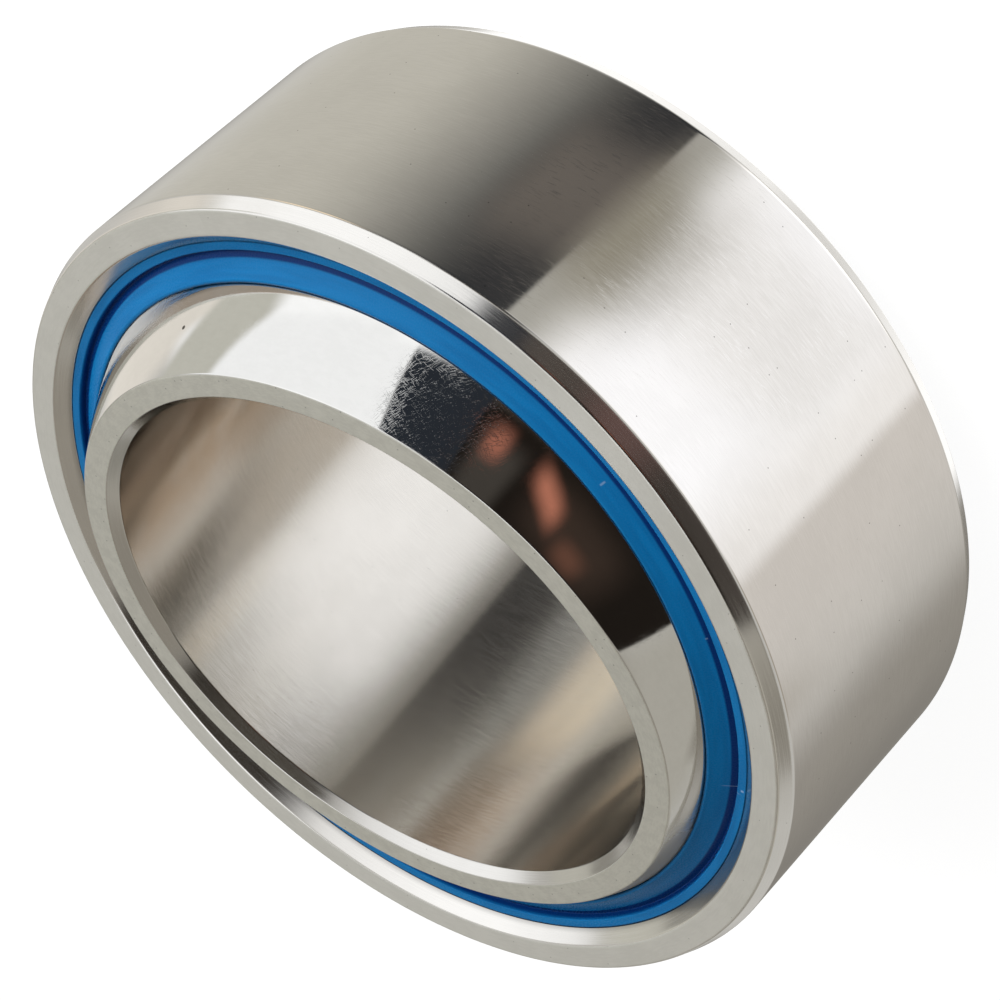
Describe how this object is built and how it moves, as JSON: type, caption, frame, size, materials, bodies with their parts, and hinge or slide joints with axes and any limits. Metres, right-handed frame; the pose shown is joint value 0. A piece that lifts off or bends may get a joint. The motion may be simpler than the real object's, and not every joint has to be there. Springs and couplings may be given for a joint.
{
  "type": "spherical plain bearing",
  "caption": "Sealed radial spherical plain bearing: a bored ball swivels in a lined outer ring, with a blue lip seal on each side.",
  "frame": {"origin": "centre of the ball, on the bore axis halfway along the inner ring", "axes": "+Z along the bore of the inner ring, +X the way the outer ring's axis leans from it, Y the axis of the swivel"},
  "size_m": [0.077, 0.075, 0.035],
  "materials": {
    "outer_steel": "ground",
    "ball_chrome": "polished ball, ground bore and faces",
    "liner_fabric": "woven",
    "seal_blue": "glossy"
  },
  "bodies": {
    "ball": {"inner_ring": "ball_chrome"},
    "housing_ring": {"outer_ring": "outer_steel", "sliding_liner": "liner_fabric", "front_seal": "seal_blue", "rear_seal": "seal_blue"}
  },
  "joints": [
    {"name": "swivel", "type": "hinge", "parent": "ball", "child": "housing_ring", "pos_m": [0, 0, 0], "axis": [0, 1, 0], "range_deg": [-11.54, 0.46]}
  ]
}
